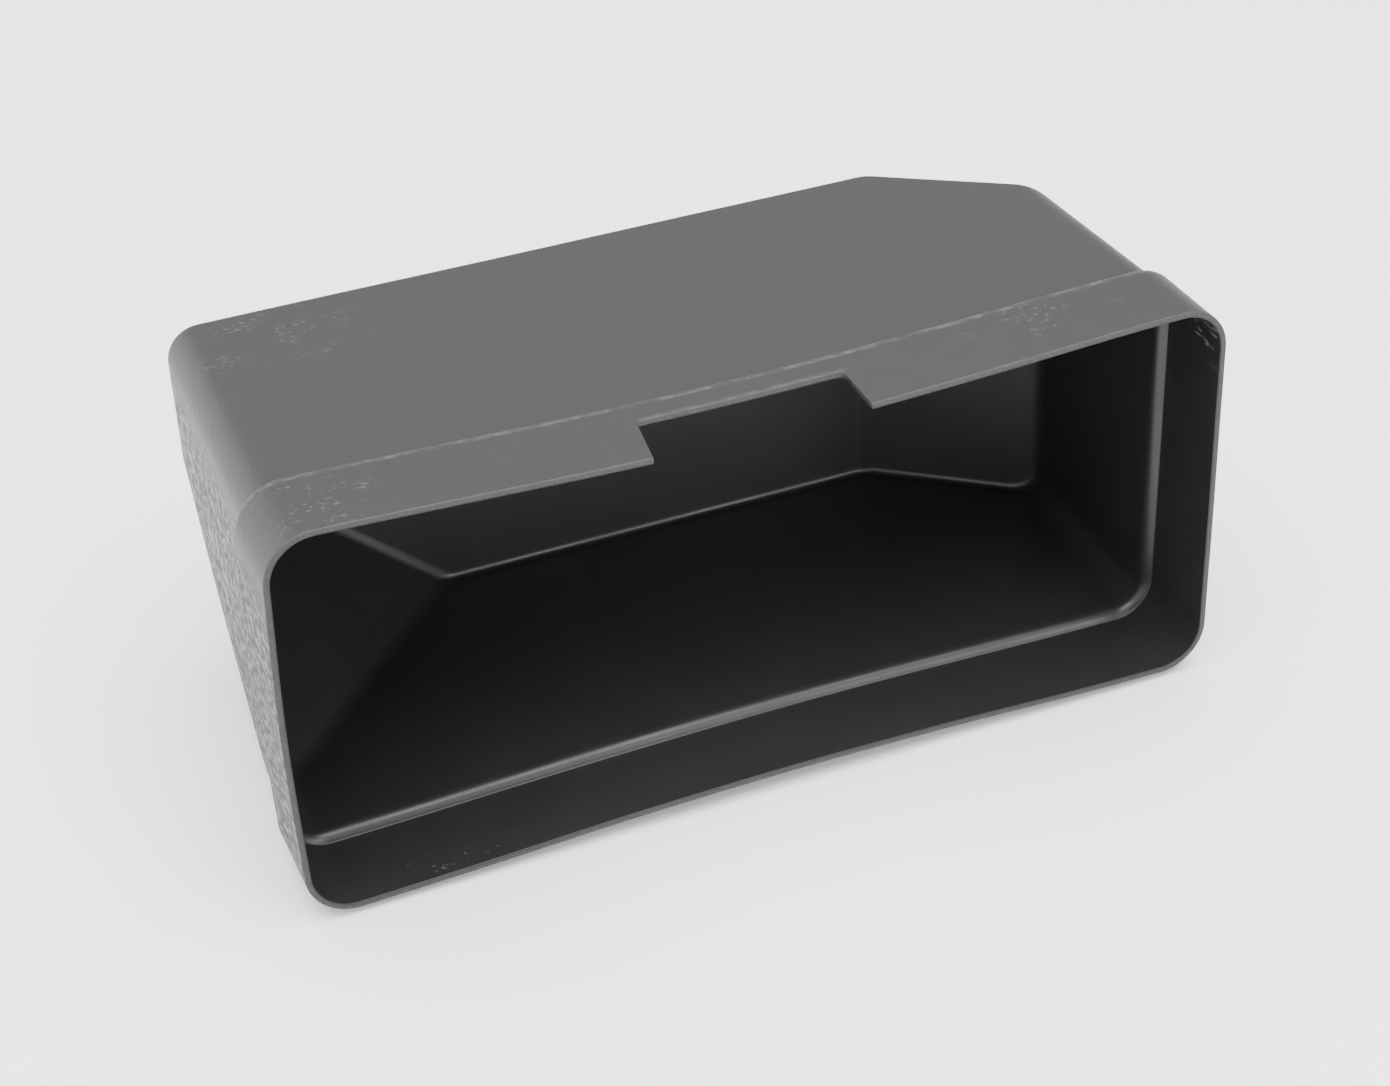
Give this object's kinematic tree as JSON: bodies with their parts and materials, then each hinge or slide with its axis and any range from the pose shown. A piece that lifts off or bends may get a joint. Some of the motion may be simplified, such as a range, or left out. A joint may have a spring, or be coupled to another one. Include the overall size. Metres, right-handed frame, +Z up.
{
  "type": "glove box liner",
  "caption": "Open-fronted bin formed from one sheet of black plastic, with a stepped collar, a latch notch and two cut rear corners, which lines a car's glove compartment.",
  "frame": {"origin": "the middle of the base of the box round the part, on the surface it stands on, tipped back onto the collar's heel and the lower edge of the back wall", "axes": "+Z up, +X along the opening's width to the right as seen from the front, +Y in through the opening towards the back wall, which leans back 4.7 degrees"},
  "size_m": [0.3314, 0.1636, 0.1475],
  "materials": {
    "black_abs": "fine haircell grain outside, smooth satin inside"
  },
  "bodies": {
    "root": {"liner_shell": "black_abs"}
  },
  "joints": []
}
